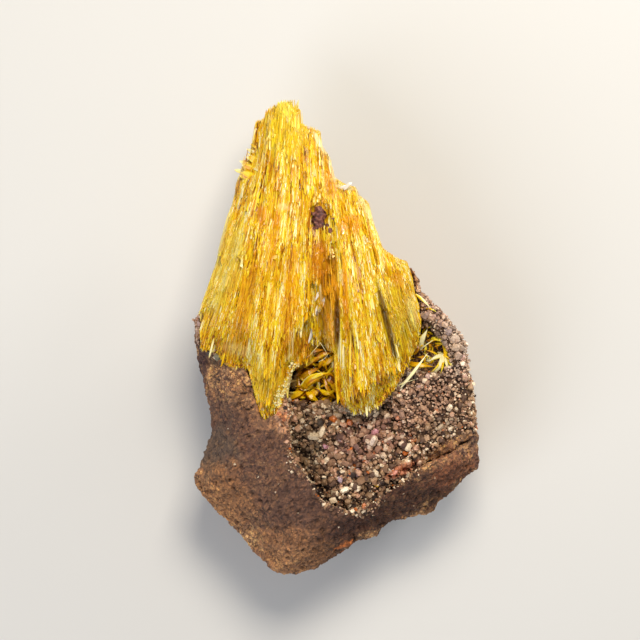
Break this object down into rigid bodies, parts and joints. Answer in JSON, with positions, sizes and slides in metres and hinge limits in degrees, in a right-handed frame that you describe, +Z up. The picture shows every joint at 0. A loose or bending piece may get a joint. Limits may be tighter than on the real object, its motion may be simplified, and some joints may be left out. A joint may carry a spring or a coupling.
{
  "type": "legrandite on matrix",
  "caption": "Mineral specimen: a fan-shaped spray of bright yellow needle crystals on brown limonite matrix, with a pocket of granular druse, lying on its back.",
  "frame": {"origin": "the resting surface, under the middle of the specimen's box", "axes": "+X across the specimen, +Y from the foot of the rock to the tip of the spray, +Z up out of its display side; it lies on its back"},
  "size_m": [0.0362, 0.0598, 0.0223],
  "materials": {
    "matrix": "rough earthy stone",
    "legrandite": "glassy crystal",
    "druse": "small crystals, part glassy, part dull",
    "speck": "dull stone"
  },
  "bodies": {
    "root": {"matrix": "matrix", "legrandite_spray": "legrandite", "druse_crust": "druse", "cavern_blades": "legrandite", "pocket_blades": "legrandite", "limonite_speck": "speck"}
  },
  "joints": []
}
